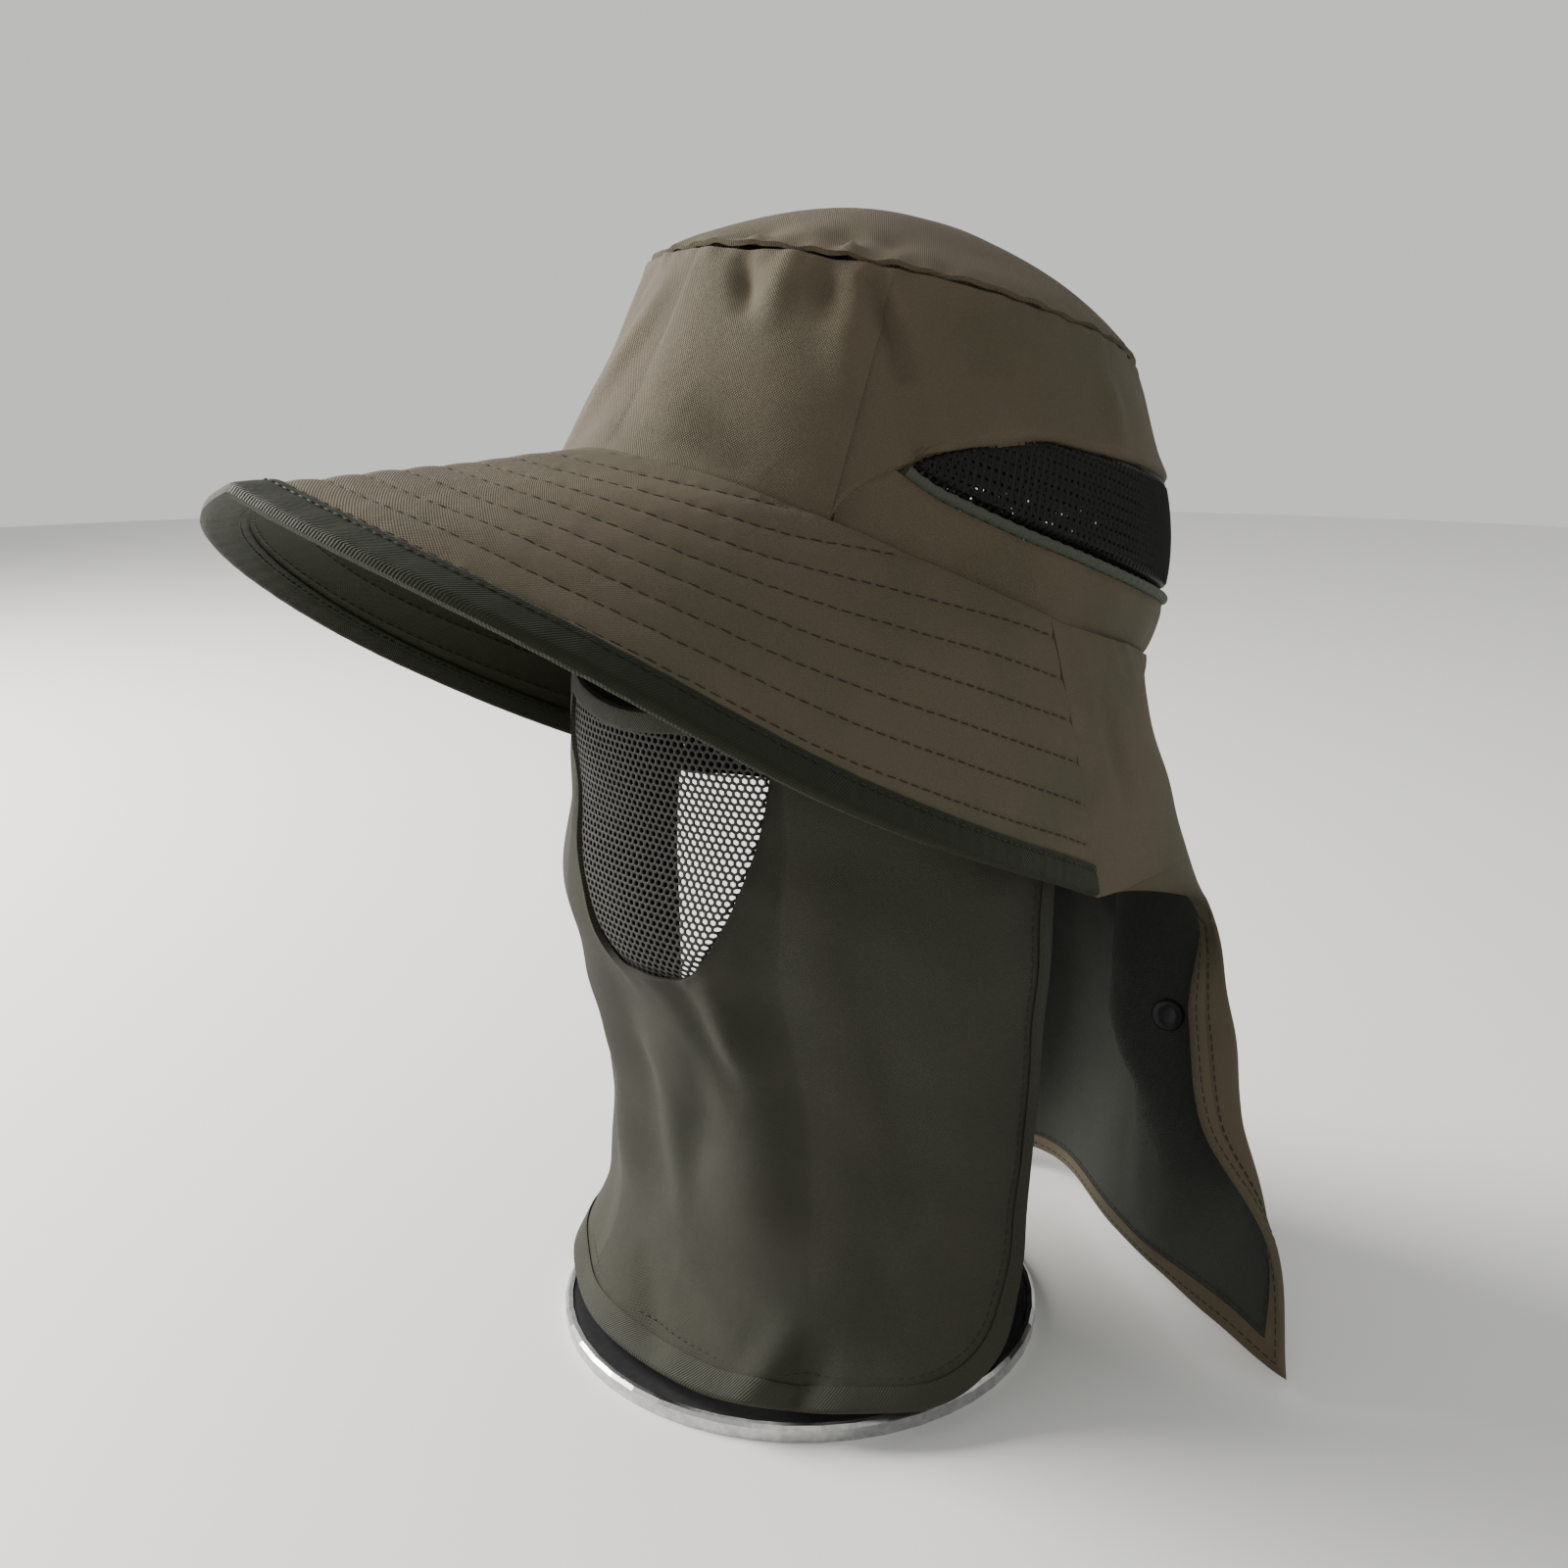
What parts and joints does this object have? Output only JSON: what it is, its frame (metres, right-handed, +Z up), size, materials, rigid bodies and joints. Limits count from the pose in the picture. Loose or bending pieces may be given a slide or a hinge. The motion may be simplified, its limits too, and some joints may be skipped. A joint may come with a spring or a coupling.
{
  "type": "flap sun hat on a hat stand",
  "caption": "Wide-brimmed cloth sun hat with a net crown back, a long neck flap and a face cover with a mouth net, on a plain round-based hat stand.",
  "frame": {"origin": "centre of the stand's underside, on the surface it stands on", "axes": "+Z up, -Y towards the front of the hat, +X towards the wearer's left"},
  "size_m": [0.27, 0.3057, 0.3392],
  "materials": {
    "taupe": "matte woven",
    "dark_green": "matte woven tape",
    "shade_olive": "matte thin woven",
    "black_net": "open net",
    "grey_green": "matte woven tape",
    "black_plate": "satin dark grey",
    "chrome": "polished"
  },
  "bodies": {
    "root": {"band_piping": "grey_green", "brim": "taupe", "brim_binding": "dark_green", "crown_mesh": "black_net", "crown_side": "taupe", "crown_tip": "taupe", "face_binding": "shade_olive", "face_cover": "shade_olive", "face_mesh": "black_net", "face_top_hem": "grey_green", "flap_binding": "shade_olive", "neck_flap": "shade_olive", "rear_band": "taupe", "stand_base": "black_plate", "stand_post": "black_plate", "stand_rim": "chrome"}
  },
  "joints": []
}
